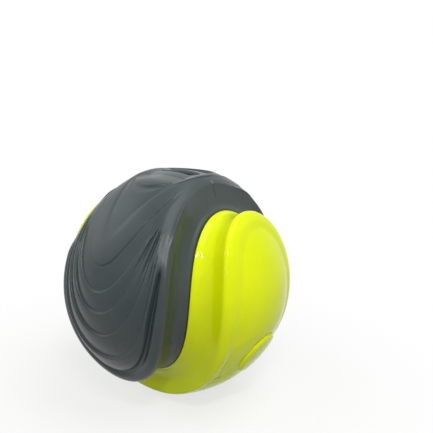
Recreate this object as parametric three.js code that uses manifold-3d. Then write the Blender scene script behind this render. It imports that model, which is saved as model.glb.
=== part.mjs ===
// Whistling dog ball: two interlocking soft shells that close a whistle chamber between them.
// Millimetres, Z up, origin at the ball's centre. The whistle mouth faces +Z, the grey shell's
// two tongues reach round to -Y and +Y, and the yellow shell's two caps face -X and +X.

import * as THREE from 'three';
import { mergeVertices } from 'three/addons/utils/BufferGeometryUtils.js';
import Module from 'manifold-3d';

// The ball and its two shells
const ballRadius = 37.5;
const channelFloorRadius = 30.5;
const wallThickness = 4.3;
const innerEdgeSoftening = 1.5;

// Lapped joint along the seam
const jointClearance = 0.3;
const lapReach = 1.5;

// Whistle mouth, and how far the sunk pad and its crease lie from it along the surface
const mouthLength = 13.9;
const mouthWidth = 4.7;
const mouthPointDepth = 1.3;
const mouthCornerRadius = 0.5;
const mouthBevelWidth = 0.85;
const mouthBevelDepth = 0.5;
const padSideMargin = 2.7;
const padFrontMargin = 8.2;
const padBackMargin = 13.7;
const creaseMargin = 4.3;
const creaseHalfWidth = 1.6;

// Heights of the relief, all measured down from the ball's surface
const padDepth = 1.2;
const padBackDepth = 0.35;
const creaseDepth = 0.25;
const ridgeDepth = 0.3;
const scaleStep = 0.55;
const shoulderDepth = 0.2;
const grooveDepth = 1.6;
const beadEdgeDepth = 0.5;
const lipDepth = 0.75;
const rimDepth = 0.55;
const rimInsideDepth = 0.1;
const troughDepth = 0.7;
const crownDepth = 0.3;
const flatDepth = 1;

// Round boss on one cap
const bossDiameter = 15.5;
const bossTopDepth = 0.1;
const bossRoot = 3.5;
const bossRounding = 0.5;

// Counts, and angles in degrees
const quarterSteps = 24;
const fineSteps = 240;
const bossSides = 36;
const rightAngle = 90;
const seamTilt = 33.5;

const grey = new THREE.MeshStandardMaterial({ color: 0x586264, roughness: 0.45, metalness: 0 });
const yellow = new THREE.MeshStandardMaterial({ color: 0xcfe600, roughness: 0.3, metalness: 0 });

const { lerp, smoothstep, degToRad, radToDeg } = THREE.MathUtils;
const angleOf = (length, radius = ballRadius) => radToDeg(length / radius);

// A place on a lobe has two angles. 'Along' runs down the lobe's middle line, from the whistle on
// the grey lobe and from the foot of the ball on the yellow one. 'Across' runs square to it.
function lobeDirection(along, across) {
  const turn = degToRad(along);
  const lean = degToRad(across);
  return new THREE.Vector3(
    Math.sin(lean),
    -Math.cos(lean) * Math.sin(turn),
    Math.cos(lean) * Math.cos(turn),
  );
}

const behindOf = (direction) => radToDeg(Math.atan2(direction.y, direction.z));
const alongOf = (direction) => Math.abs(behindOf(direction));
const asideOf = (direction) => Math.abs(radToDeg(Math.asin(direction.x / direction.length())));

// A tongue's outline, in angles: its tip lies along the lobe at the tip angle, and its sides lie
// across at the waist angle, widening to the side angle over the spread. Fullness squares the tip.
function tongueCurve({ tipAngle, fullness, waistAngle, sideAngle, spreadAngle }) {
  return (t) => {
    const progress = Math.sin(degToRad(rightAngle * t));
    const along = tipAngle * progress;
    const across = lerp(waistAngle, sideAngle, smoothstep(along, 0, spreadAngle));
    return lobeDirection(along, across * Math.sqrt(1 - progress ** fullness));
  };
}

// The seam is one closed curve that looks the same from either lobe, as on a tennis ball
function seamCurve(t) {
  const tilt = Math.sin(degToRad(seamTilt));
  const wide = (1 + tilt) / 2;
  const narrow = (1 - tilt) / 2;
  const phase = degToRad(rightAngle * (0.5 - t));
  const point = new THREE.Vector3(
    wide * Math.cos(phase) + narrow * Math.cos(3 * phase),
    wide * Math.sin(phase) - narrow * Math.sin(3 * phase),
    Math.cos(degToRad(seamTilt)) * Math.sin(2 * phase),
  );
  return point.applyAxisAngle(new THREE.Vector3(0, 0, 1), degToRad(-rightAngle / 2));
}

// Points at even distances along a quarter of a ring
function evenQuarter(curve) {
  const fine = [];
  const lengths = [0];
  for (let i = 0; i <= fineSteps; i += 1) {
    fine.push(curve(i / fineSteps));
    if (i > 0) lengths.push(lengths[i - 1] + fine[i].distanceTo(fine[i - 1]));
  }
  const points = [];
  let i = 0;
  for (let step = 0; step <= quarterSteps; step += 1) {
    const wanted = (lengths[fineSteps] * step) / quarterSteps;
    while (i < fineSteps - 1 && lengths[i + 1] < wanted) i += 1;
    const share = (wanted - lengths[i]) / (lengths[i + 1] - lengths[i]);
    points.push(fine[i].clone().lerp(fine[i + 1], share));
  }
  return points;
}

// Four quarters make a ring: front right, front left, back left and back right
function closeRing(frontQuarter, backQuarter = frontQuarter) {
  const mirror = (point, x, y) => new THREE.Vector3(point.x * x, point.y * y, point.z);
  const ring = [];
  for (let i = 0; i < quarterSteps; i += 1) ring.push(mirror(frontQuarter[i], 1, 1));
  for (let i = quarterSteps; i > 0; i -= 1) ring.push(mirror(frontQuarter[i], -1, 1));
  for (let i = 0; i < quarterSteps; i += 1) ring.push(mirror(backQuarter[i], -1, -1));
  for (let i = quarterSteps; i > 0; i -= 1) ring.push(mirror(backQuarter[i], 1, -1));
  return ring;
}

const tongueRing = (outline) => closeRing(evenQuarter(tongueCurve(outline)));

// The same outline, wider all round by an angle, and by less of it at the narrow waist
function grown(outline, degrees) {
  return {
    ...outline,
    tipAngle: outline.tipAngle + degrees,
    waistAngle: outline.waistAngle + degrees / 4,
    sideAngle: outline.sideAngle + degrees,
  };
}

// Puts a ring at a radius, which is a number or a function of the direction
function atRadius(ring, radius) {
  const radiusAt = typeof radius === 'function' ? radius : () => radius;
  return ring.map((direction) => direction.clone().setLength(radiusAt(direction)));
}

function between(ringA, ringB, share) {
  return ringA.map((point, i) => point.clone().lerp(ringB[i], share));
}

// A lofted skin from ring to ring, each strip of it split along the shorter diagonal
function loft(rings, closed) {
  const count = rings[0].length;
  const positions = [];
  const triangle = (...corners) => corners.forEach((corner) => positions.push(...corner.toArray()));
  const strips = closed ? rings.length : rings.length - 1;
  for (let i = 0; i < strips; i += 1) {
    const inner = rings[i];
    const outer = rings[(i + 1) % rings.length];
    for (let j = 0; j < count; j += 1) {
      const next = (j + 1) % count;
      if (inner[j].distanceTo(outer[next]) < inner[next].distanceTo(outer[j])) {
        triangle(inner[j], outer[next], outer[j]);
        triangle(inner[j], inner[next], outer[next]);
      } else {
        triangle(inner[j], inner[next], outer[j]);
        triangle(inner[next], outer[next], outer[j]);
      }
    }
  }
  const skin = new THREE.BufferGeometry();
  skin.setAttribute('position', new THREE.Float32BufferAttribute(positions, 3));
  return withoutSlivers(mergeVertices(skin));
}

// A ring that is folded flat leaves triangles with two corners in one place
function withoutSlivers(geometry) {
  const corners = geometry.index.array;
  const kept = [];
  for (let i = 0; i < corners.length; i += 3) {
    const [a, b, c] = corners.slice(i, i + 3);
    if (a !== b && b !== c && c !== a) kept.push(a, b, c);
  }
  geometry.setIndex(kept);
  return geometry;
}

// What both shells share: the seam, the lapped joint, the channel wall and the inside of a lobe

const halfGap = jointClearance / 2;
const lapRadius = channelFloorRadius - wallThickness / 2;
const chamberEdgeRadius = channelFloorRadius - wallThickness;
const lobeChamberRadius = ballRadius - wallThickness;
const seamRing = closeRing(evenQuarter(seamCurve));

// The seam moved sideways over the ball, towards the yellow shell where the offset is positive
function besideSeam(offset, radius) {
  const count = seamRing.length;
  return seamRing.map((point, i) => {
    const ahead = seamRing[(i + 1) % count];
    const behind = seamRing[(i + count - 1) % count];
    const sideways = point.clone().cross(ahead.clone().sub(behind)).normalize();
    return point.clone().setLength(radius).addScaledVector(sideways, offset).setLength(radius);
  });
}

// How far the channel wall has run towards the seam, and how far it has dropped by then
const wallShares = [[0.14, 0.36], [0.28, 0.62], [0.5, 0.83], [0.75, 0.96]];

function channelWall(edge, seam) {
  return wallShares.map(([runShare, dropShare]) => between(edge, seam, runShare).map((point, i) => {
    return point.setLength(lerp(edge[i].length(), seam[i].length(), dropShare));
  }));
}

// The chamber's outline under a lobe stands in from the lobe's own edge by the wall thickness
function chamberOutline(edge) {
  const inset = (angle) => {
    const halfWidth = ballRadius * Math.sin(degToRad(angle)) - wallThickness;
    return radToDeg(Math.asin(halfWidth / lobeChamberRadius));
  };
  return {
    ...edge,
    tipAngle: edge.tipAngle - angleOf(wallThickness, lobeChamberRadius),
    waistAngle: inset(edge.waistAngle),
    sideAngle: inset(edge.sideAngle),
  };
}

// The inside of a lobe: up from the joint, round the chamber's edge and on towards an end ring
function lobeInside(jointFoot, lobeEdge, endRing, endShares) {
  const outline = chamberOutline(lobeEdge);
  const shoulder = atRadius(tongueRing(outline), lobeChamberRadius - innerEdgeSoftening);
  const cornerOutline = grown(outline, -angleOf(innerEdgeSoftening, lobeChamberRadius));
  const corner = atRadius(tongueRing(cornerOutline), lobeChamberRadius);
  const face = endShares.map((share) => atRadius(between(corner, endRing, share), lobeChamberRadius));
  return [between(jointFoot, shoulder, 0.5), shoulder, corner, ...face];
}

// Grey shell

const padSide = angleOf(mouthLength / 2 + mouthBevelWidth + padSideMargin);
const padFront = angleOf(mouthWidth / 2 + mouthBevelWidth + padFrontMargin);
const padBack = angleOf(mouthWidth / 2 + mouthBevelWidth + padBackMargin);
const creaseAt = angleOf(mouthWidth / 2 + mouthBevelWidth + creaseMargin);
const creaseSpread = angleOf(creaseHalfWidth);
const mouthSide = angleOf(mouthLength / 2);
const padEdge = 0.9;
const domeTopShare = 0.66;

// Outlines on the grey lobe, from the soft ridge beside the pad out to the lip. A waist share is
// the outline's place at the waist, on the way from the pad's edge to the lip.
const lipWaist = 22;
const greyOutline = ({ waistShare, ...rest }) => {
  return { ...rest, waistAngle: lerp(padSide + padEdge, lipWaist, waistShare) };
};
const ridgeFoot = greyOutline({
  tipAngle: 54, fullness: 2, waistShare: 0.03, sideAngle: 10, spreadAngle: 40,
});
const ridgeTop = greyOutline({
  tipAngle: 60, fullness: 2, waistShare: 0.08, sideAngle: 12, spreadAngle: 40,
});
const grooveSide = greyOutline({
  tipAngle: 121, fullness: 6.3, waistShare: 0.72, sideAngle: 27.4, spreadAngle: 80,
});
const groove = greyOutline({
  tipAngle: 126.5, fullness: 5.8, waistShare: 0.78, sideAngle: 28.8, spreadAngle: 80,
});
const beadEdge = greyOutline({
  tipAngle: 128.5, fullness: 6.6, waistShare: 0.86, sideAngle: 31.5, spreadAngle: 88,
});
const bead = greyOutline({
  tipAngle: 131.5, fullness: 6.5, waistShare: 0.93, sideAngle: 33.5, spreadAngle: 89,
});
const lip = greyOutline({
  tipAngle: 135, fullness: 6.5, waistShare: 1, sideAngle: 35, spreadAngle: 90,
});
const grooveFade = [64, 69];

// The edges of the wave-like scales. Each one's arms fade into the shoulder between the two
// angles of its fade. The first edge steps down going outward, and the others step up.
const scaleEdges = [
  {
    tipAngle: 70.5, fullness: 1.93, waistShare: 0.18, sideAngle: 20, spreadAngle: 30,
    fade: [18, 34], up: false,
  },
  {
    tipAngle: 82, fullness: 3.5, waistShare: 0.32, sideAngle: 21.5, spreadAngle: 50,
    fade: [43, 50], up: true,
  },
  {
    tipAngle: 91.5, fullness: 5, waistShare: 0.43, sideAngle: 22, spreadAngle: 65,
    fade: [50, 60], up: true,
  },
  {
    tipAngle: 102.5, fullness: 5.5, waistShare: 0.54, sideAngle: 24.5, spreadAngle: 75,
    fade: [56, 66], up: true,
  },
  {
    tipAngle: 115, fullness: 7.3, waistShare: 0.65, sideAngle: 27, spreadAngle: 80,
    fade: [60, 70], up: true,
  },
];
const scaleEdgeWidth = 1;

function mouthRing(bevel, radius) {
  const halfLength = mouthLength / 2 + bevel;
  const halfWidth = mouthWidth / 2 + bevel;
  const corner = new THREE.Vector2(halfLength - mouthPointDepth, -halfWidth);
  const slant = new THREE.Vector2(halfLength, 0).sub(corner).setLength(mouthCornerRadius);
  const path = new THREE.Path();
  path.moveTo(halfLength, 0);
  path.lineTo(corner.x + slant.x, corner.y + slant.y);
  path.quadraticCurveTo(corner.x, corner.y, corner.x - mouthCornerRadius, corner.y);
  path.lineTo(0, -halfWidth);
  return closeRing(path.getSpacedPoints(quarterSteps).map(({ x, y }) => {
    return new THREE.Vector3(x, y, Math.sqrt(radius ** 2 - x ** 2 - y ** 2));
  }));
}

// The pad round the mouth ends in one arc in front and a longer one behind
function padRing(extra) {
  const arc = (reach) => evenQuarter((t) => {
    const turn = degToRad(rightAngle * t);
    return lobeDirection((reach + extra) * Math.sin(turn), (padSide + extra) * Math.cos(turn));
  });
  return atRadius(closeRing(arc(padFront), arc(padBack)), ballRadius);
}

// The pad's floor is sunk, rises to its sides, and has a straight crease and a low dome behind
function padFloor(direction) {
  const behind = behindOf(direction);
  const sideRise = smoothstep(asideOf(direction), mouthSide, padSide);
  const domeRise = smoothstep(behind, creaseAt, lerp(creaseAt, padBack, domeTopShare));
  const crease = creaseDepth * Math.max(0, 1 - Math.abs(behind - creaseAt) / creaseSpread);
  return ballRadius - (padDepth * (1 - domeRise) + crease) * (1 - sideRise);
}

function padCrest(direction) {
  return ballRadius - padBackDepth * smoothstep(behindOf(direction), creaseAt, padBack);
}

// A depth that holds round the nose of a tongue and fades into the shoulder along its arms
function fadedDepth(fade, depth) {
  return (direction) => {
    return ballRadius - lerp(shoulderDepth, depth, smoothstep(alongOf(direction), ...fade));
  };
}

function scaleRings({ up, fade, ...shape }) {
  const outline = greyOutline(shape);
  const before = tongueRing(grown(outline, -scaleEdgeWidth / 2));
  const after = tongueRing(grown(outline, scaleEdgeWidth / 2));
  const high = fadedDepth(fade, 0);
  const low = fadedDepth(fade, scaleStep);
  return [atRadius(before, up ? low : high), atRadius(after, up ? high : low)];
}

const padShares = [0.35, 0.7, 1];
const fieldShares = [0.25, 0.5, 0.75, 1];
const greyFaceShares = [0.25, 0.5, 0.75, 0.9];

function buildGreyShell() {
  const mouthRim = atRadius(mouthRing(mouthBevelWidth, ballRadius), padFloor);
  const pad = padShares.map((share) => atRadius(between(mouthRim, padRing(0), share), padFloor));
  const padTop = atRadius(padRing(padEdge), padCrest);
  const fieldEnd = atRadius(tongueRing(ridgeFoot), ballRadius);
  const field = fieldShares.map((share) => {
    return atRadius(between(padTop, fieldEnd, share), ballRadius - ridgeDepth * share);
  });
  const ridge = atRadius(tongueRing(ridgeTop), ballRadius);
  const scales = scaleEdges.flatMap(scaleRings);
  const lipRing = atRadius(tongueRing(lip), ballRadius - lipDepth);
  const seamTop = besideSeam(-halfGap, channelFloorRadius);
  const mouthFoot = mouthRing(0, lobeChamberRadius);
  const jointFoot = besideSeam(lapReach, chamberEdgeRadius);
  return loft([
    mouthRing(0, ballRadius - padDepth - mouthBevelDepth),
    mouthRim,
    ...pad,
    padTop,
    ...field,
    ridge,
    atRadius(between(ridge, scales[0], 0.5), ballRadius),
    ...scales,
    atRadius(tongueRing(grooveSide), fadedDepth(grooveFade, scaleStep)),
    atRadius(tongueRing(groove), fadedDepth(grooveFade, grooveDepth)),
    atRadius(tongueRing(beadEdge), fadedDepth(grooveFade, beadEdgeDepth)),
    atRadius(tongueRing(bead), fadedDepth(grooveFade, 0)),
    lipRing,
    ...channelWall(lipRing, seamTop),
    seamTop,
    besideSeam(-halfGap, lapRadius - halfGap),
    besideSeam(lapReach, lapRadius - halfGap),
    jointFoot,
    ...lobeInside(jointFoot, lip, mouthFoot, greyFaceShares),
    mouthFoot,
  ], true);
}

// Yellow shell, made in the same frame as the grey one and then turned over onto its place

const rim = { tipAngle: 136, fullness: 7, waistAngle: 21.5, sideAngle: 32, spreadAngle: 100 };
const trough = { tipAngle: 126, fullness: 6.5, waistAngle: 19.3, sideAngle: 23, spreadAngle: 100 };
const spine = { tipAngle: 108, fullness: 4, waistAngle: 0, sideAngle: 0, spreadAngle: 100 };
const troughFade = [20, 45];
const flatAt = 60;
const flatHalfLength = 28;

// The rim's rings from the inside out, each at its angle in from the rim's outline
const rimRings = [
  { inset: 5, depth: rimInsideDepth },
  { inset: 1.9, depth: 0 },
  { inset: 0, depth: rimDepth },
];
const faceShares = [0, 0.22, 0.44, 0.66, 0.84, 1];
const yellowFaceShares = [0.34, 0.67, 1];

// Half a turn about the line half way between X and Y carries one lobe onto the other
const turnOver = new THREE.Matrix4().makeRotationAxis(
  new THREE.Vector3(1, 1, 0).normalize(),
  degToRad(2 * rightAngle),
);

// A cap's face lies a little under the ball's surface, in a trough inside the rim and on the flat
// where the round boss stands
function capFace(direction, share) {
  const along = alongOf(direction);
  const flat = flatDepth * (1 - smoothstep(Math.abs(along - flatAt), 0, flatHalfLength));
  const dish = lerp(crownDepth, troughDepth, share ** 2) * smoothstep(along, ...troughFade);
  return ballRadius - Math.max(flat, dish);
}

function buildYellowShell() {
  const spineRing = tongueRing(spine);
  const troughRing = tongueRing(trough);
  const face = faceShares.map((share) => {
    return atRadius(between(spineRing, troughRing, share), (direction) => capFace(direction, share));
  });
  const edge = rimRings.map(({ inset, depth }) => {
    return atRadius(tongueRing(grown(rim, -inset)), ballRadius - depth);
  });
  const seamTop = besideSeam(-halfGap, channelFloorRadius);
  const lapEnd = -lapReach - jointClearance;
  const jointFoot = besideSeam(lapEnd, chamberEdgeRadius);
  const shell = loft([
    ...face,
    ...edge,
    ...channelWall(edge.at(-1), seamTop),
    seamTop,
    besideSeam(-halfGap, lapRadius + halfGap),
    besideSeam(lapEnd, lapRadius + halfGap),
    jointFoot,
    ...lobeInside(jointFoot, rim, spineRing, yellowFaceShares),
  ], false);
  return shell.applyMatrix4(turnOver);
}

// The plain round boss low on one cap: a slab of sphere, rooted in the shell and joined to it
const bossAcross = 2;
const bossTopShares = [1, 0.97, 0.9, 0.6, 0.3, 0];
const roundingStartShare = 0.88;

function buildBoss() {
  const top = ballRadius - bossTopDepth;
  const edge = bossDiameter / 2;
  const profile = [new THREE.Vector2(0, top - bossRoot), new THREE.Vector2(edge, top - bossRoot)];
  bossTopShares.forEach((share) => {
    const drop = bossRounding * smoothstep(share, roundingStartShare, 1);
    profile.push(new THREE.Vector2(edge * share, Math.sqrt(top ** 2 - (edge * share) ** 2) - drop));
  });
  const outward = lobeDirection(-flatAt, bossAcross).applyMatrix4(turnOver);
  const upright = new THREE.Vector3(0, 1, 0);
  const turn = new THREE.Quaternion().setFromUnitVectors(upright, outward);
  return new THREE.LatheGeometry(profile, bossSides).applyQuaternion(turn);
}

// Joins closed meshes into one
const wasm = await Module();
wasm.setup();

function toSolid(geometry) {
  const bare = geometry.clone();
  bare.deleteAttribute('normal');
  bare.deleteAttribute('uv');
  const merged = mergeVertices(bare);
  return new wasm.Manifold(new wasm.Mesh({
    numProp: 3,
    vertProperties: new Float32Array(merged.attributes.position.array),
    triVerts: new Uint32Array(merged.index.array),
  }));
}

function joined(geometryA, geometryB) {
  const { vertProperties, triVerts } = toSolid(geometryA).add(toSolid(geometryB)).getMesh();
  const geometry = new THREE.BufferGeometry();
  geometry.setAttribute('position', new THREE.BufferAttribute(vertProperties, 3));
  geometry.setIndex(new THREE.BufferAttribute(triVerts, 1));
  return geometry;
}

function namedMesh(name, geometry, material) {
  geometry.computeVertexNormals();
  const mesh = new THREE.Mesh(geometry, material);
  mesh.name = name;
  return mesh;
}

const ball = new THREE.Group();
ball.add(namedMesh('grey_whistle_shell', buildGreyShell(), grey));
ball.add(namedMesh('yellow_cap_shell', joined(buildYellowShell(), buildBoss()), yellow));

export default ball;
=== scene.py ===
# Whistling dog ball: a grey and a yellow rubber shell that interlock like the halves of a tennis
# ball's cover. Metres, Z up, origin at the ball's centre, the whistle slot faces up.
from math import radians

import bpy
import numpy as np
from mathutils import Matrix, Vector


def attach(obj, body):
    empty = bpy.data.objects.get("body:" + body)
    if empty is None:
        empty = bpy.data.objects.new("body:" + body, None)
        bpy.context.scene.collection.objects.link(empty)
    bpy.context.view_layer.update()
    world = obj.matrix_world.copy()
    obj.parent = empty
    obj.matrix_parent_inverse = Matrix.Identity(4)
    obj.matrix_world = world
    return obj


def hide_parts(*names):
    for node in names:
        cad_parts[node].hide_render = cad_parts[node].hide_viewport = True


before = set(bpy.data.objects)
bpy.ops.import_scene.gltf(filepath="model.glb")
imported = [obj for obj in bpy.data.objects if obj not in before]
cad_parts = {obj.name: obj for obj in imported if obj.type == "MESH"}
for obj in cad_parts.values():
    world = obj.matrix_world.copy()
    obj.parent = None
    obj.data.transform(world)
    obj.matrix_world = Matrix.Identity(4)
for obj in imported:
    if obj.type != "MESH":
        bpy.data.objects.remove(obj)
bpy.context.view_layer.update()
print("frame loaded:", sorted(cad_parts))

mm = 0.001
quarterColumns = 104  # faces along a quarter of each ring
curveSteps = 1500  # steps a quarter is first drawn in
cornerPoints = 12  # points round each corner of the slot
leastWidth = 0.0001  # added to each width, so that none divides by zero
mergeDistance = 0.000002  # metres
smoothShare = 0.5  # how far one smoothing moves a vertex towards its neighbours' middle
waistGrowth = 0.25  # how far an outline's waist moves when its tip and sides move by 1

# lengths in mm
ball = {
    "radius": 37.5,
    "channelFloorRadius": 30.5,
    "wallThickness": 4.3,
    "innerEdgeSoftening": 1.5,
    "jointGap": 0.3,
    "lapReach": 1.5,
    "seamTilt": 33.5,  # degrees
}
roofRadius = ball["radius"] - ball["wallThickness"]
innerEdgeRadius = ball["channelFloorRadius"] - ball["wallThickness"]
lapRadius = ball["channelFloorRadius"] - ball["wallThickness"] / 2
halfGap = ball["jointGap"] / 2


def smoothStep(x, low, high):
    share = np.clip((x - low) / (high - low), 0.0, 1.0)
    return share * share * (3.0 - 2.0 * share)


def mix(a, b, share):
    return a + (b - a) * share


def unit(points):
    return points / np.linalg.norm(points, axis=-1, keepdims=True)


# along runs down a lobe's middle line and across runs square to it, both in degrees
def lobeDirection(along, across):
    turn, lean = np.radians(along), np.radians(across)
    return np.stack([np.sin(lean), -np.cos(lean) * np.sin(turn), np.cos(lean) * np.cos(turn)], axis=-1)


def aheadOf(points):
    return np.degrees(np.arctan2(-points[..., 1], points[..., 2]))


def alongOf(points):
    return np.abs(aheadOf(points))


def asideOf(points):
    return np.degrees(np.arcsin(np.abs(unit(points)[..., 0])))


# points at even distances along a quarter of a ring
def evenQuarter(curve):
    fine = curve(np.linspace(0.0, 1.0, curveSteps + 1))
    steps = np.linalg.norm(np.diff(fine, axis=0), axis=1)
    length = np.concatenate([[0.0], np.cumsum(steps)])
    wanted = np.linspace(0.0, length[-1], quarterColumns + 1)
    return np.stack([np.interp(wanted, length, fine[:, k]) for k in range(3)], axis=-1)


# mirrors a quarter into a whole ring, whose back half may have its own quarter
def closeRing(front, back=None):
    back = front if back is None else back
    return np.concatenate([
        front[:-1],
        front[:0:-1] * (-1, 1, 1),
        back[:-1] * (-1, -1, 1),
        back[:0:-1] * (1, -1, 1),
    ])


# a tongue outline: tip angle, fullness of the tip, angle across at the waist and at the sides,
# and the angle along over which it widens from one to the other
def tongueRing(tip, fullness, waist, side, spread):
    def curve(t):
        progress = np.sin(np.pi / 2 * t)
        across = mix(waist, side, smoothStep(tip * progress, 0.0, spread))
        return lobeDirection(tip * progress, across * np.sqrt(1.0 - progress ** fullness))
    return closeRing(evenQuarter(curve))


def grown(outline, angle):
    tip, fullness, waist, side, spread = outline
    return (tip + angle, fullness, waist + angle * waistGrowth, side + angle, spread)


def seamRing():
    tilt = np.sin(radians(ball["seamTilt"]))
    wide, narrow = (1 + tilt) / 2, (1 - tilt) / 2

    def curve(t):
        phase = np.pi / 2 * (0.5 - t)
        x = wide * np.cos(phase) + narrow * np.cos(3 * phase)
        y = wide * np.sin(phase) - narrow * np.sin(3 * phase)
        z = np.cos(radians(ball["seamTilt"])) * np.sin(2 * phase)
        half = np.sqrt(0.5)
        return np.stack([half * (x + y), half * (y - x), z], axis=-1)
    return closeRing(evenQuarter(curve))


seam = seamRing()


# the seam moved sideways over the ball, towards the yellow shell where the offset is positive
def besideSeam(offset, radius):
    ahead, behind = np.roll(seam, -1, axis=0), np.roll(seam, 1, axis=0)
    sideways = unit(np.cross(seam, ahead - behind))
    return unit(unit(seam) * radius + sideways * offset) * radius


def station(ring, radius, steps=1):
    ring = unit(ring)
    reach = np.full(len(ring), float(radius)) if np.isscalar(radius) else radius
    return {"ring": ring, "radius": reach, "steps": steps}


def solidStation(points, steps=1):
    return station(points, np.linalg.norm(points, axis=1), steps)


# slopes for a curve that never overshoots its stations
def easySlopes(width, rise):
    slope = np.zeros((len(width) + 1,) + width.shape[1:])
    before, after = rise[:-1], rise[1:]
    same = before * after > 0
    w1, w2 = 2 * width[1:] + width[:-1], width[1:] + 2 * width[:-1]
    safeBefore, safeAfter = np.where(same, before, 1.0), np.where(same, after, 1.0)
    slope[1:-1] = np.where(same, (w1 + w2) / (w1 / safeBefore + w2 / safeAfter), 0.0)
    slope[0], slope[-1] = rise[0], rise[-1]
    return slope


# lays rings from station to station: directions straight across, heights on an easy curve
def layRings(stations):
    rings = np.stack([s["ring"] for s in stations])
    radius = np.stack([s["radius"] for s in stations])
    width = np.linalg.norm(np.diff(rings, axis=0), axis=2) + leastWidth
    rise = np.diff(radius, axis=0) / width
    slope = easySlopes(width, rise)
    laid = []
    for k, here in enumerate(stations[:-1]):
        for step in range(here["steps"]):
            t = step / here["steps"]
            direction = unit(mix(rings[k], rings[k + 1], t))
            height = (
                (2 * t ** 3 - 3 * t ** 2 + 1) * radius[k]
                + (t ** 3 - 2 * t ** 2 + t) * width[k] * slope[k]
                + (3 * t ** 2 - 2 * t ** 3) * radius[k + 1]
                + (t ** 3 - t ** 2) * width[k] * slope[k + 1]
            )
            laid.append(direction * height[:, None])
    laid.append(rings[-1] * radius[-1][:, None])
    return laid


# a grid is wrapped round into a shell and its meeting edges are merged
def wrapShell(name, rings):
    rows, columns = len(rings), len(rings[0])
    bpy.ops.object.select_all(action="DESELECT")
    width = 2 * ball["radius"] * mm
    bpy.ops.mesh.primitive_grid_add(x_subdivisions=columns, y_subdivisions=rows - 1, size=width)
    shell = bpy.context.object
    shell.name = name
    places = np.stack([np.concatenate([ring, ring[:1]]) for ring in rings]) * mm
    shell.data.vertices.foreach_set("co", places.reshape(-1).astype(np.float32))
    shell.data.update()
    bpy.ops.object.mode_set(mode="EDIT")
    bpy.ops.mesh.select_all(action="SELECT")
    bpy.ops.mesh.remove_doubles(threshold=mergeDistance)
    bpy.ops.mesh.normals_make_consistent(inside=False)
    bpy.ops.object.mode_set(mode="OBJECT")
    bpy.ops.object.shade_smooth()
    return shell


def placesOf(shell):
    flat = np.empty(len(shell.data.vertices) * 3, dtype=np.float32)
    shell.data.vertices.foreach_get("co", flat)
    return flat.reshape(-1, 3).astype(float) / mm


def pick(item):
    bpy.ops.object.select_all(action="DESELECT")
    item.select_set(True)
    bpy.context.view_layer.objects.active = item


# opens a mesh for editing with the chosen ones of its faces or vertices selected
def editParts(item, kind, chosen):
    pick(item)
    bpy.ops.object.mode_set(mode="EDIT")
    bpy.ops.mesh.select_mode(type=kind)
    bpy.ops.mesh.select_all(action="DESELECT")
    bpy.ops.object.mode_set(mode="OBJECT")
    parts = item.data.polygons if kind == "FACE" else item.data.vertices
    parts.foreach_set("select", chosen)
    bpy.ops.object.mode_set(mode="EDIT")


# splits the faces near a fine line, so that the line can be pressed in crisply
def refine(shell, chosen, cuts):
    centres = np.empty(len(shell.data.polygons) * 3, dtype=np.float32)
    shell.data.polygons.foreach_get("center", centres)
    editParts(shell, "FACE", chosen(centres.reshape(-1, 3).astype(float) / mm))
    bpy.ops.mesh.subdivide(number_cuts=cuts)
    bpy.ops.object.mode_set(mode="OBJECT")


def soften(shell, chosen, repeats):
    editParts(shell, "VERT", chosen(placesOf(shell)))
    bpy.ops.mesh.vertices_smooth(factor=smoothShare, repeat=repeats)
    bpy.ops.object.mode_set(mode="OBJECT")


# presses the surface in along its own normals by a depth in mm
def press(shell, depthAt):
    normals = np.empty(len(shell.data.vertices) * 3, dtype=np.float32)
    shell.data.vertex_normals.foreach_get("vector", normals)
    places = placesOf(shell)
    moved = places - normals.reshape(-1, 3) * depthAt(places)[:, None]
    shell.data.vertices.foreach_set("co", (moved * mm).reshape(-1).astype(np.float32))
    shell.data.update()


# the side wall from a lobe's lip down to the seam, by shares of its run and of its drop
def channelWall(lipRing, lipRadius, seamTop, shares):
    lipTop, seamRadius = lipRing * lipRadius[:, None], np.linalg.norm(seamTop, axis=1)
    return [
        station(mix(lipTop, seamTop, run), mix(lipRadius, seamRadius, drop), steps)
        for run, drop, steps in shares
    ]


# the chamber under a lobe stands in from the lobe's edge by the wall thickness
def chamberOutline(edge):
    wall = ball["wallThickness"]
    tip, fullness, waist, side, spread = edge

    def inset(angle):
        return np.degrees(np.arcsin((ball["radius"] * np.sin(radians(angle)) - wall) / roofRadius))
    return (tip - np.degrees(wall / roofRadius), fullness, inset(waist), inset(side), spread)


# the lap joint, from the seam along the lap and down to the foot of the shell's inner edge
def lapJoint(lapEnd, radius):
    lap = [solidStation(besideSeam(offset, radius)) for offset in (-halfGap, lapEnd)]
    return lap + [solidStation(besideSeam(lapEnd, innerEdgeRadius))]


# the inside of a shell, from the lap's foot over the chamber's edge and along its roof
def lobeInside(lapEnd, edge, endRing, shares):
    soft = ball["innerEdgeSoftening"]
    outline = chamberOutline(edge)
    foot = besideSeam(lapEnd, innerEdgeRadius)
    shoulder = tongueRing(*outline) * (roofRadius - soft)
    corner = tongueRing(*grown(outline, -np.degrees(soft / roofRadius))) * roofRadius
    edges = [solidStation(mix(foot, shoulder, 0.5), 2), solidStation(shoulder, 2), solidStation(corner)]
    return edges + [station(mix(corner, endRing, share), roofRadius) for share in shares]


# shares of a side wall: its run, its drop at the waist and its drop along the tongues
wallShares = ((0.14, 0.2, 0.36), (0.28, 0.42, 0.62), (0.5, 0.72, 0.83), (0.75, 0.93, 0.96))

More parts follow.
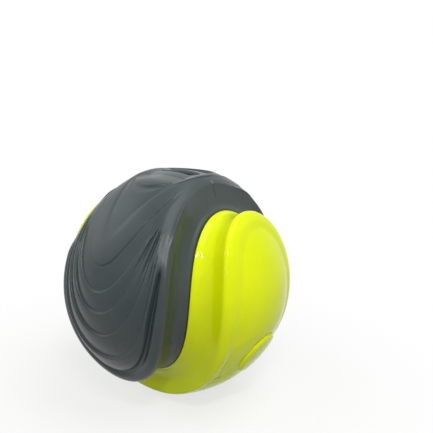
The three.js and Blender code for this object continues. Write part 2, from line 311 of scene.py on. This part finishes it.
# grey shell
greyRelief = {
    # lengths in mm, and a depth is how far a place lies below the ball's surface
    "slotLength": 13.9,
    "slotWidth": 4.7,
    "slotPointDepth": 1.3,
    "slotCornerRadius": 0.5,
    "slotBevelWidth": 0.85,
    "slotBevelDepth": 0.5,
    "padDepth": 1.2,
    "padEndDepth": 0.45,
    "creaseDepth": 0.12,
    "ridgeDepth": 0.3,
    "scaleStep": 0.55,
    "scaleLine": 0.07,
    "shoulderDepth": 0.2,
    "rollDepth": 1.3,
    "edgeRollDepth": 0.6,
    "grooveDepth": 1.8,
    "grooveArmDepth": 0.6,
    "beadEdgeDepth": 0.35,
    "lipDepth": 0.75,
    "partingDepth": 0.4,
    "partingWidth": 0.7,
    "partingTop": 37.4,  # from the ball's centre, and so are the two feet
    "partingFoot": 31.8,
    "waistFoot": 31.5,
    "partingAside": 12,
    "partingRefine": (0.9, 0.5),  # to its sides and below its foot
    "skinDepth": 2.2,  # all relief but the slot lies above it
    # angles in degrees, along the lobe
    "padLong": 27,
    "padShort": 17.4,
    "creaseAt": 11.5,
    "creaseHalfWidth": 1.3,
    "domeTop": 24,
    "armAt": 56,  # where the arms of the scales end
    "armReach": 16,
    "rollFade": (12, 37),
    "edgeRollAlong": (28, 38, 54, 66),
    "smoothAlong": 46,
    "hooksAlong": (50, 63),
    "waistAlong": 24,
    "grooveTip": (102, 119),
    "grooveFade": (65, 68.5),
    "wallFirm": (15, 60),  # where the side wall turns from soft to firm
    # angles in degrees, across the lobe
    "padSide": 16.04,
    "padSideFrom": 10.6,
    "padWall": 0.9,
    "scaleEdgeAt": (0.35, 1.1),  # to either side of the edge
    "rollStart": 15.5,
    "edgeRollWidth": (7, 2),  # in from the lip
    "smoothFrom": 18.2,
    "smoothMargin": 1.2,
    # shares and counts
    "scaleLineShare": 0.2,
    "partingFullShare": 0.6,
    "ridgeShares": (0.25, 0.5, 0.75, 1.0),
    "roofShares": (0.25, 0.5, 0.75, 0.9),
    "padRings": 18,
    "smoothRepeats": 30,
    "hooksRepeats": 20,
    "partingCuts": 5,
    # outlines, by the values of tongueRing
    "lip": (135, 6.5, 22, 35, 90),
    "bead": (132.3, 6.5, 21.65, 33.5, 89),
    "beadEdge": (129.8, 6.4, 21.29, 31.1, 88),
    "groove": (127.8, 5.6, 20.89, 30.1, 80),
    "grooveSide": (124, 5.6, 20.58, 28.9, 80),
    "ridgeFoot": (54, 2, 17.09, 10, 48),
    "ridgeTop": (60, 2, 17.34, 12, 48),
    # each scale's outline, the angles between which its arms fade into the shoulder, its step and
    # what the arms add to it, if the surface steps up going outward, and the rings after it
    "scales": (
        ((70.5, 1.93, 17.85, 20, 30), (18, 34), 0.34, 0.0, False, 6),
        ((82, 3.5, 18.56, 21.5, 50), (49, 56), 0.5, 0.0, True, 6),
        ((91.5, 5, 19.12, 22, 65), (46, 50), 0.55, 0.25, True, 7),
        ((102.5, 5.5, 19.67, 24.5, 75), (47, 52), 0.55, 0.4, True, 7),
        ((115, 7.3, 20.23, 27, 80), (61, 67), 0.55, 0.0, True, 2),
    ),
}


# the slot's outline, with pointed ends and rounded corners, grown by the bevel's width
def slotRing(bevel, radius):
    g = greyRelief
    halfLength, halfWidth = g["slotLength"] / 2 + bevel, g["slotWidth"] / 2 + bevel
    corner = np.array([halfLength - g["slotPointDepth"], -halfWidth])
    slant = np.array([halfLength, 0.0]) - corner
    start = corner + slant / np.linalg.norm(slant) * g["slotCornerRadius"]
    end = corner - (g["slotCornerRadius"], 0.0)

    def curve(t):
        turn = np.linspace(0.0, 1.0, cornerPoints)[:, None]
        bend = (1 - turn) ** 2 * start + 2 * turn * (1 - turn) * corner + turn ** 2 * end
        path = np.concatenate([[[halfLength, 0.0]], bend, [[0.0, -halfWidth]]])
        length = np.concatenate([[0.0], np.cumsum(np.linalg.norm(np.diff(path, axis=0), axis=1))])
        x, y = (np.interp(t * length[-1], length, path[:, k]) for k in range(2))
        return np.stack([x, y, np.sqrt(radius ** 2 - x ** 2 - y ** 2)], axis=-1)
    return closeRing(evenQuarter(curve))


# the sunk pad round the slot ends in a long arc in front and a short one behind
def padRing(extra):
    g = greyRelief

    def arc(reach):
        def curve(t):
            turn = np.pi / 2 * t
            return lobeDirection((reach + extra) * np.sin(turn), (g["padSide"] + extra) * np.cos(turn))
        return evenQuarter(curve)
    return closeRing(arc(g["padLong"]), arc(g["padShort"]))


# the pad's floor rises to its sides, and past a crease it rises to a low dome in front
def padFloor(ring):
    g = greyRelief
    ahead = aheadOf(ring)
    sideRise = smoothStep(asideOf(ring), g["padSideFrom"], g["padSide"])
    domeRise = smoothStep(ahead, g["creaseAt"], g["domeTop"])
    crease = g["creaseDepth"] * np.clip(1 - np.abs(ahead - g["creaseAt"]) / g["creaseHalfWidth"], 0, 1)
    return ball["radius"] - (g["padDepth"] * (1 - domeRise) + crease) * (1 - sideRise)


# the height of an edge that fades into the shoulder towards the waist
def fadedRadius(ring, fade, depth):
    share = smoothStep(alongOf(ring), *fade)
    return ball["radius"] - mix(greyRelief["shoulderDepth"], depth, share)


# the steps are deepest where the arms of the scales end in their hooks
def armDepth(ring, depth, step, armStep):
    g = greyRelief
    near = 1 - smoothStep(np.abs(alongOf(ring) - g["armAt"]), 0, g["armReach"])
    return depth * (1 + armStep / step * near)


# how far the lip stands across at a place along the lobe
def lipAside(along):
    _, _, waist, side, spread = greyRelief["lip"]
    return mix(waist, side, smoothStep(along, 0, spread))


# the shoulder rolls over into the side wall near the waist, and its edge does so by the hooks
def rolled(stations):
    g = greyRelief
    wide, narrow = g["edgeRollWidth"]
    start, full, ending, end = g["edgeRollAlong"]
    lipWaist = lipAside(0)
    for s in stations:
        along, aside = alongOf(s["ring"]), asideOf(s["ring"])
        share = np.clip((aside - g["rollStart"]) / (lipWaist - g["rollStart"]), 0, 1) ** 2
        edge = smoothStep(aside, lipAside(along) - wide, lipAside(along) - narrow)
        edge = edge * smoothStep(along, start, full) * (1 - smoothStep(along, ending, end))
        roll = g["rollDepth"] * share * (1 - smoothStep(along, *g["rollFade"]))
        s["radius"] = s["radius"] - roll - g["edgeRollDepth"] * edge
    return stations


# a scale's edge is a step with a fine line pressed in at its foot
def scaleStations(outline, fade, step, armStep, stepsUp, stepsAfter):
    g = greyRelief
    line = step + g["scaleLine"]
    beside = mix(step, line, g["scaleLineShare"])
    depths = (beside, line, 0.0, 0.0) if stepsUp else (0.0, 0.0, line, beside)
    narrow, wide = g["scaleEdgeAt"]
    edge = []
    for offset, depth, steps in zip((-wide, -narrow, narrow, wide), depths, (3, 4, 3, stepsAfter)):
        ring = tongueRing(*grown(outline, offset))
        depth = armDepth(ring, depth, step, armStep)
        edge.append(station(ring, fadedRadius(ring, fade, depth), steps))
    return edge


# the shoulder above the hooks is smooth, and right at the waist the lip is too
def onShoulder(places):
    g = greyRelief
    along, aside, height = alongOf(places), asideOf(places), np.linalg.norm(places, axis=1)
    outward = aside > g["smoothFrom"]
    skin = height > ball["radius"] - g["skinDepth"]
    shoulder = skin & (along < g["smoothAlong"]) & (aside < lipAside(along) - g["smoothMargin"])
    waist = (height > g["waistFoot"]) & (along < g["waistAlong"]) & (places[:, 2] > 0)
    return outward & (shoulder | waist)


# the waves end in hooks, whose slopes run into each other softly
def byHooks(places):
    g = greyRelief
    along, (start, end) = alongOf(places), g["hooksAlong"]
    skin = np.linalg.norm(places, axis=1) > ball["radius"] - g["skinDepth"]
    return skin & (along > start) & (along < end) & (asideOf(places) > g["smoothFrom"])


def onSideWalls(places):
    return (places[:, 2] > 0) & (np.abs(places[:, 0]) > greyRelief["partingAside"])


# the mould's parting line runs down both side walls, in the plane y = 0
def partingDepth(places):
    g = greyRelief
    middle = (g["partingTop"] + g["partingFoot"]) / 2
    reach = (g["partingTop"] - g["partingFoot"]) / 2
    across = np.clip(1 - np.abs(places[:, 1]) / (g["partingWidth"] / 2), 0, 1)
    fromMiddle = np.abs(np.linalg.norm(places, axis=1) - middle)
    down = 1 - smoothStep(fromMiddle, reach * g["partingFullShare"], reach)
    return g["partingDepth"] * across * down * onSideWalls(places)


def nearParting(places):
    beside, below = greyRelief["partingRefine"]
    high = np.linalg.norm(places, axis=1) > greyRelief["partingFoot"] - below
    return (np.abs(places[:, 1]) < beside) & high & onSideWalls(places)


def buildGreyShell():
    g = greyRelief
    radius = ball["radius"]
    slotTop = slotRing(0.0, radius - g["padDepth"] - g["slotBevelDepth"])
    rimRing = unit(slotRing(g["slotBevelWidth"], radius))
    stations = [solidStation(slotTop, 4), station(rimRing, padFloor(rimRing), 1)]
    for share in np.linspace(0, 1, g["padRings"] + 1)[1:]:
        ring = unit(mix(rimRing, padRing(0.0), share))
        stations.append(station(ring, padFloor(ring), 1 if share < 1 else 4))
    padTop = padRing(g["padWall"])
    crest = radius - g["padEndDepth"] * smoothStep(aheadOf(padTop), g["creaseAt"], g["padLong"])
    stations.append(station(padTop, crest, 5))
    fieldEnd = tongueRing(*g["ridgeFoot"])
    for share in g["ridgeShares"]:
        ring = unit(mix(padTop, fieldEnd, share))
        stations.append(station(ring, radius - g["ridgeDepth"] * share, 4))
    stations.append(station(tongueRing(*g["ridgeTop"]), radius, 4))
    for scale in g["scales"]:
        stations += scaleStations(*scale)
    sideRing = tongueRing(*g["grooveSide"])
    sideDepth = mix(g["grooveArmDepth"], g["scaleStep"], smoothStep(alongOf(sideRing), *g["grooveTip"]))
    for outline, depth, steps in (
        ("grooveSide", sideDepth, 5),
        ("groove", g["grooveDepth"], 4),
        ("beadEdge", g["beadEdgeDepth"], 5),
        ("bead", 0.0, 4),
    ):
        ring = tongueRing(*g[outline])
        stations.append(station(ring, fadedRadius(ring, g["grooveFade"], depth), steps))
    stations.append(station(tongueRing(*g["lip"]), radius - g["lipDepth"], 3))
    stations = rolled(stations)
    lipRing, lipRadius = stations[-1]["ring"], stations[-1]["radius"]
    seamTop = besideSeam(-halfGap, ball["channelFloorRadius"])
    tight = smoothStep(alongOf(lipRing), *g["wallFirm"])
    wall = [(run, mix(soft, firm, tight), 3) for run, soft, firm in wallShares]
    stations += channelWall(lipRing, lipRadius, seamTop, wall)
    stations.append(solidStation(seamTop, 3))
    stations += lapJoint(ball["lapReach"], lapRadius - halfGap)
    slotFoot = slotRing(0.0, roofRadius)
    stations += lobeInside(ball["lapReach"], g["lip"], slotFoot, g["roofShares"])
    stations += [solidStation(slotFoot, 4), solidStation(slotTop)]
    return wrapShell("greyShell", layRings(stations))


greyShell = buildGreyShell()
soften(greyShell, onShoulder, greyRelief["smoothRepeats"])
soften(greyShell, byHooks, greyRelief["hooksRepeats"])
refine(greyShell, nearParting, greyRelief["partingCuts"])
press(greyShell, partingDepth)
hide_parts("grey_whistle_shell")
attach(greyShell, "root")
print("grey shell:", len(greyShell.data.polygons), "faces")

# yellow shell
yellowRelief = {
    # lengths in mm, and a depth is how far a place lies below the ball's surface
    "rimDepth": 0.55,
    "rimInsideDepth": 0.1,
    "troughDepth": 0.7,
    "crownDepth": 0.3,
    "flatDepth": 1.0,
    "bossDiameter": 15.5,
    "bossTopDepth": 0.1,
    "bossRoot": 3.5,
    "bossRounding": 0.45,
    "bossRoundingWidth": 0.9,
    "bossInsets": (0.12, 0.12, 0.15, 0.2, 0.3, 0.6, 1.0, 1.5, 1.5, 1.5),
    "lineDepth": 0.3,
    "lineWidth": 0.7,
    "lineRefine": 1.3,  # to its sides
    "lineFromBoss": 30.0,  # the line is looked for this near the boss
    "bandDepth": 0.3,
    "bandStart": 0.5,
    "bandReach": 6.0,
    "skinDepth": 2.5,
    # angles in degrees
    "flatAt": 60.0,
    "flatReach": 28.0,
    "dishAlong": (20, 45),
    "rimInsets": (5, 1.9),
    "bossAcross": 2.0,
    "smoothAngle": 34,
    # the lower edge of the cap's face: angles along and across from the side to the middle
    "faceLine": ((42, 25), (47, 21.5), (51, 16), (58, 14.2), (64, 10), (70, 8), (74, 4), (74.3, 0)),
    # shares and counts
    "lineEndShare": 0.1,
    "roofShares": (0.34, 0.67, 1.0),
    "faceRings": 48,
    "bossSides": 144,
    "linePasses": 4,
    "lineCuts": 3,
    # outlines, by the values of tongueRing
    "rim": (136, 7, 21.5, 32, 100),
    "trough": (126, 6.5, 19.3, 23, 100),
    "spine": (108, 4, 0, 0, 100),
}


# the height of a cap's face, dished between its crown and its rim and flattened round the boss
def capFace(ring, share):
    y = yellowRelief
    along = alongOf(ring)
    flat = y["flatDepth"] * (1 - smoothStep(np.abs(along - y["flatAt"]), 0, y["flatReach"]))
    dish = mix(y["crownDepth"], y["troughDepth"], share ** 2) * smoothStep(along, *y["dishAlong"])
    return ball["radius"] - np.maximum(flat, dish)


def buildYellowShell():
    y = yellowRelief
    lapEnd = -ball["lapReach"] - ball["jointGap"]
    spineRing, troughRing = tongueRing(*y["spine"]), tongueRing(*y["trough"])
    rimInside, rimCrest = y["rimInsets"]
    stations = []
    for share in np.linspace(0, 1, y["faceRings"] + 1):
        ring = unit(mix(spineRing, troughRing, share))
        stations.append(station(ring, capFace(ring, share), 1 if share < 1 else 9))
    for inset, depth, steps in (
        (rimInside, y["rimInsideDepth"], 6),
        (rimCrest, 0.0, 5),
        (0, y["rimDepth"], 4),
    ):
        ring = tongueRing(*grown(y["rim"], -inset))
        stations.append(station(ring, ball["radius"] - depth, steps))
    rimRing, rimRadius = stations[-1]["ring"], stations[-1]["radius"]
    seamTop = besideSeam(-halfGap, ball["channelFloorRadius"])
    wall = [(run, firm, 4) for run, _, firm in wallShares]
    stations += channelWall(rimRing, rimRadius, seamTop, wall)
    stations.append(solidStation(seamTop, 3))
    stations += lapJoint(lapEnd, lapRadius + halfGap)
    stations += lobeInside(lapEnd, y["rim"], spineRing, y["roofShares"])
    rings = [ring[:, (1, 0, 2)] * (1, 1, -1) for ring in layRings(stations)]
    return wrapShell("yellowShell", rings)


# places on the cap that faces +X
def capPlaces(angles):
    along, across = np.array(angles, dtype=float).T
    return lobeDirection(-along, across)[:, (1, 0, 2)] * (1, 1, -1) * ball["radius"]


def faceLinePath():
    half = yellowRelief["faceLine"]
    points = np.array([(along, -across) for along, across in half] + list(half[-2::-1]), dtype=float)
    for _ in range(yellowRelief["linePasses"]):  # each pass cuts the corners
        near, far = mix(points[:-1], points[1:], 0.25), mix(points[:-1], points[1:], 0.75)
        cut = np.stack([near, far], axis=1).reshape(-1, 2)
        points = np.concatenate([points[:1], cut, points[-1:]])
    return capPlaces(points)


linePath = faceLinePath()
bossPlace = capPlaces([(yellowRelief["flatAt"], yellowRelief["bossAcross"])])[0]


# how far each place is from the line, how far along it, and if it is on the boss's side
def besideLine(places):
    y = yellowRelief
    off = np.full(len(places), 2 * ball["radius"])
    share, lower = np.zeros(len(places)), np.zeros(len(places), dtype=bool)
    near = np.linalg.norm(places - bossPlace, axis=1) < y["lineFromBoss"]
    near &= np.linalg.norm(places, axis=1) > ball["radius"] - y["skinDepth"]
    onBall = unit(places[near]) * ball["radius"]
    gap = np.linalg.norm(onBall[:, None] - linePath[None], axis=2)
    nearest = gap.argmin(axis=1)
    off[near] = gap.min(axis=1)
    share[near] = nearest / (len(linePath) - 1)
    fromBoss = np.linalg.norm(onBall - bossPlace, axis=1)
    lower[near] = fromBoss < np.linalg.norm(linePath[nearest] - bossPlace, axis=1)
    return off, share, lower


def lineDepth(places):
    y = yellowRelief
    off, share, lower = besideLine(places)
    ends = smoothStep(share, 0, y["lineEndShare"]) * smoothStep(1 - share, 0, y["lineEndShare"])
    groove = y["lineDepth"] * np.exp(-(off / (y["lineWidth"] / 2)) ** 2)
    band = smoothStep(off, 0, y["bandStart"]) * (1 - smoothStep(off, y["bandStart"], y["bandReach"]))
    return (groove + y["bandDepth"] * np.where(lower, band, 0)) * ends


def nearLine(places):
    return besideLine(places)[0] < yellowRelief["lineRefine"]


# the round boss's top follows the ball, and the boss is turned outward and joined to the shell
def addBoss(shell):
    y = yellowRelief
    top = ball["radius"] - y["bossTopDepth"]
    edge = y["bossDiameter"] / 2
    root = y["bossRoot"]
    bpy.ops.object.select_all(action="DESELECT")
    bpy.ops.mesh.primitive_cylinder_add(vertices=y["bossSides"], radius=edge * mm, depth=root * mm)
    boss = bpy.context.object
    editParts(boss, "FACE", [face.normal.z > 0.5 for face in boss.data.polygons])
    for step in y["bossInsets"]:
        bpy.ops.mesh.inset(thickness=step * mm)
    bpy.ops.object.mode_set(mode="OBJECT")
    for vertex in boss.data.vertices:
        out = (vertex.co.x ** 2 + vertex.co.y ** 2) ** 0.5 / mm
        rounding = y["bossRounding"] * float(smoothStep(out, edge - y["bossRoundingWidth"], edge)) ** 2
        height = (top ** 2 - out ** 2) ** 0.5 - rounding if vertex.co.z > 0 else top - root
        vertex.co.z = height * mm
    boss.rotation_euler = Vector(unit(bossPlace)).to_track_quat("Z", "Y").to_euler()
    bpy.ops.object.transform_apply(location=False, rotation=True, scale=False)
    pick(shell)
    union = shell.modifiers.new("boss", "BOOLEAN")
    union.operation = "UNION"
    union.solver = "EXACT"
    union.object = boss
    bpy.ops.object.modifier_apply(modifier=union.name)
    bpy.ops.object.shade_smooth_by_angle(angle=radians(y["smoothAngle"]))
    pick(boss)
    bpy.ops.object.delete()


yellowShell = buildYellowShell()
refine(yellowShell, nearLine, yellowRelief["lineCuts"])
press(yellowShell, lineDepth)
addBoss(yellowShell)
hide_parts("yellow_cap_shell")
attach(yellowShell, "root")
print("yellow shell:", len(yellowShell.data.polygons), "faces")

noiseMiddle = (0.3, 0.7)  # the part of a noise's values that most of it lies in

# materials: noise scales are per metre, heights and depths in metres
greyFinish = {
    "darker": (0.039, 0.052, 0.053, 1.0),
    "lighter": (0.054, 0.071, 0.072, 1.0),
    "mottleScale": 60.0,
    "mottleDetail": 4.0,
    "handledScale": 138.0,
    "handledDetail": 5.0,
    "roughness": (0.27, 0.38),
    "specular": 0.3,
    "grainScale": 1400.0,
    "grainDetail": 3.0,
    "grainHeight": 0.00002,
}
yellowFinish = {
    "darker": (0.70, 0.80, 0.0, 1.0),
    "lighter": (0.84, 0.95, 0.001, 1.0),
    "mottleScale": 35.0,
    "mottleDetail": 3.0,
    "handledScale": 140.0,
    "handledDetail": 4.0,
    "roughness": (0.05, 0.1),
    "specular": 0.14,
    "subsurface": 0.2,
    "subsurfaceRadius": (1.0, 1.0, 0.25),
    "subsurfaceDepth": 0.003,
    "grainScale": 500.0,
    "grainDetail": 2.0,
    "grainHeight": 0.00001,
}


def newMaterial(name):
    material = bpy.data.materials.new(name)
    material.use_nodes = True
    return material, material.node_tree.nodes, material.node_tree.links


# a noise laid on the object's own coordinates
def addNoise(nodes, links, scale, detail):
    place = nodes.new("ShaderNodeTexCoord")
    noise = nodes.new("ShaderNodeTexNoise")
    noise.inputs["Scale"].default_value = scale
    noise.inputs["Detail"].default_value = detail
    links.new(place.outputs["Object"], noise.inputs["Vector"])
    return noise.outputs["Fac"]


# spreads the middle of a noise between two numbers
def addRange(nodes, links, value, low, high):
    spread = nodes.new("ShaderNodeMapRange")
    spread.inputs["From Min"].default_value = noiseMiddle[0]
    spread.inputs["From Max"].default_value = noiseMiddle[1]
    spread.inputs["To Min"].default_value = low
    spread.inputs["To Max"].default_value = high
    links.new(value, spread.inputs["Value"])
    return spread.outputs["Result"]


def addBlend(nodes, links, value, colorA, colorB):
    blend = nodes.new("ShaderNodeMix")
    blend.data_type = "RGBA"
    blend.inputs["A"].default_value = colorA
    blend.inputs["B"].default_value = colorB
    links.new(value, blend.inputs["Factor"])
    return blend.outputs["Result"]


def addBump(nodes, links, value, height):
    bump = nodes.new("ShaderNodeBump")
    bump.inputs["Strength"].default_value = 1.0
    bump.inputs["Distance"].default_value = height
    links.new(value, bump.inputs["Height"])
    return bump.outputs["Normal"]


# rubber with a faint mottle of two colours, a gloss that handling has made uneven, and a fine grain
def makeRubber(name, finish):
    material, nodes, links = newMaterial(name)
    shader = nodes["Principled BSDF"]
    mottle = addNoise(nodes, links, finish["mottleScale"], finish["mottleDetail"])
    share = addRange(nodes, links, mottle, 0.0, 1.0)
    color = addBlend(nodes, links, share, finish["darker"], finish["lighter"])
    links.new(color, shader.inputs["Base Color"])
    handled = addNoise(nodes, links, finish["handledScale"], finish["handledDetail"])
    links.new(addRange(nodes, links, handled, *finish["roughness"]), shader.inputs["Roughness"])
    grain = addNoise(nodes, links, finish["grainScale"], finish["grainDetail"])
    links.new(addBump(nodes, links, grain, finish["grainHeight"]), shader.inputs["Normal"])
    shader.inputs["Specular IOR Level"].default_value = finish["specular"]
    return material


# the yellow rubber also lets a little light through
def makeYellowRubber():
    material = makeRubber("yellowRubber", yellowFinish)
    inputs = material.node_tree.nodes["Principled BSDF"].inputs
    inputs["Subsurface Weight"].default_value = yellowFinish["subsurface"]
    inputs["Subsurface Radius"].default_value = yellowFinish["subsurfaceRadius"]
    inputs["Subsurface Scale"].default_value = yellowFinish["subsurfaceDepth"]
    return material


greyShell.data.materials.append(makeRubber("greyRubber", greyFinish))
yellowShell.data.materials.append(makeYellowRubber())
print("materials made")

# studio: lengths in metres, lens and sensor in mm, angles in degrees
studio = {
    "cameraPlace": (0.11191, -0.13820, 0.05943),
    "cameraTurn": (77.92, -1.881, 35.433),
    "lens": 45.8,
    "sensorWidth": 36,
    "clipStart": 0.01,
    "worldLight": 0.39,
    "floorSize": 6,
    "floorColor": (0.38, 0.38, 0.38, 1.0),
    "shadedColor": (0.9, 0.9, 0.9, 1.0),
    "shadowShare": 0.3,
    "shadowFade": (0.045, 0.12),
}
# each lamp's place, size and power in watts
lamps = {
    "keyLamp": ((0.20, 0.05, 0.49), 0.4, 1.25),
    "leftLamp": ((-0.40, -0.22, 0.32), 0.5, 0.6),
}
# narrow strips whose glints show on the glossy neck: place, width, height, tilt and power
strips = {
    "highStrip": ((0.207, -0.221, 0.332), 0.12, 0.024, 12, 0.55),
    "sideStrip": ((0.306, -0.254, 0.205), 0.022, 0.03, 0, 0.09),
    "lowStrip": ((0.149, -0.383, 0.180), 0.022, 0.05, 0, 0.10),
}


# 1 for what the camera, a mirror or a clear body sees, 0 for the light that falls on the ball
def addSeen(nodes, links):
    path = nodes.new("ShaderNodeLightPath")
    either = nodes.new("ShaderNodeMath")
    either.operation = "MAXIMUM"
    links.new(path.outputs["Is Camera Ray"], either.inputs[0])
    links.new(path.outputs["Is Glossy Ray"], either.inputs[1])
    seen = nodes.new("ShaderNodeMath")
    seen.operation = "MAXIMUM"
    links.new(either.outputs[0], seen.inputs[0])
    links.new(path.outputs["Is Transmission Ray"], seen.inputs[1])
    return seen.outputs[0]


# the floor is white where it is seen, with a soft shadow that ends near the ball
def makeFloorWhite():
    material, nodes, links = newMaterial("floorWhite")
    plain = nodes["Principled BSDF"]
    plain.inputs["Base Color"].default_value = studio["floorColor"]
    plain.inputs["Specular IOR Level"].default_value = 0.0
    white = nodes.new("ShaderNodeEmission")
    shaded = nodes.new("ShaderNodeBsdfDiffuse")
    shaded.inputs["Color"].default_value = studio["shadedColor"]
    place = nodes.new("ShaderNodeTexCoord")
    reach = nodes.new("ShaderNodeVectorMath")
    reach.operation = "LENGTH"
    links.new(place.outputs["Object"], reach.inputs[0])
    fade = nodes.new("ShaderNodeMapRange")
    fade.interpolation_type = "SMOOTHSTEP"
    fade.inputs["From Min"].default_value = studio["shadowFade"][0]
    fade.inputs["From Max"].default_value = studio["shadowFade"][1]
    fade.inputs["To Min"].default_value = studio["shadowShare"]
    fade.inputs["To Max"].default_value = 0.0
    links.new(reach.outputs["Value"], fade.inputs["Value"])
    seenFloor = nodes.new("ShaderNodeMixShader")
    links.new(fade.outputs["Result"], seenFloor.inputs["Fac"])
    links.new(white.outputs[0], seenFloor.inputs[1])
    links.new(shaded.outputs[0], seenFloor.inputs[2])
    whole = nodes.new("ShaderNodeMixShader")
    links.new(addSeen(nodes, links), whole.inputs["Fac"])
    links.new(plain.outputs[0], whole.inputs[1])
    links.new(seenFloor.outputs[0], whole.inputs[2])
    links.new(whole.outputs[0], nodes["Material Output"].inputs["Surface"])
    return material


bpy.ops.object.select_all(action="DESELECT")
bpy.ops.mesh.primitive_plane_add(size=studio["floorSize"], location=(0, 0, -ball["radius"] * mm))
floor = bpy.context.object
floor.name = "floor"
floor.data.materials.append(makeFloorWhite())

world = bpy.context.scene.world or bpy.data.worlds.new("world")
bpy.context.scene.world = world
world.use_nodes = True
worldNodes, worldLinks = world.node_tree.nodes, world.node_tree.links
strength = worldNodes.new("ShaderNodeMapRange")
strength.inputs["To Min"].default_value = studio["worldLight"]
strength.inputs["To Max"].default_value = 1.0
worldLinks.new(addSeen(worldNodes, worldLinks), strength.inputs["Value"])
worldNodes["Background"].inputs["Color"].default_value = (1, 1, 1, 1)
worldLinks.new(strength.outputs["Result"], worldNodes["Background"].inputs["Strength"])


# a lamp that looks at the ball's centre
def addLamp(name, place, size, power):
    bpy.ops.object.light_add(type="AREA", location=place)
    lamp = bpy.context.object
    lamp.name = name
    lamp.data.shape = "DISK"
    lamp.data.size = size
    lamp.data.energy = power
    lamp.rotation_euler = (-lamp.location).to_track_quat("-Z", "Y").to_euler()
    return lamp


for name, (place, size, power) in lamps.items():
    addLamp(name, place, size, power)
for name, (place, width, height, tilt, power) in strips.items():
    strip = addLamp(name, place, width, power)
    strip.data.shape = "RECTANGLE"
    strip.data.size_y = height
    strip.rotation_euler.rotate_axis("Z", radians(tilt))
print("studio set")

bpy.ops.object.camera_add(location=studio["cameraPlace"])
camera = bpy.context.object
camera.rotation_euler = [radians(angle) for angle in studio["cameraTurn"]]
camera.data.lens = studio["lens"]
camera.data.sensor_width = studio["sensorWidth"]
camera.data.clip_start = studio["clipStart"]
bpy.context.scene.camera = camera

bpy.context.scene.view_settings.view_transform = "Standard"
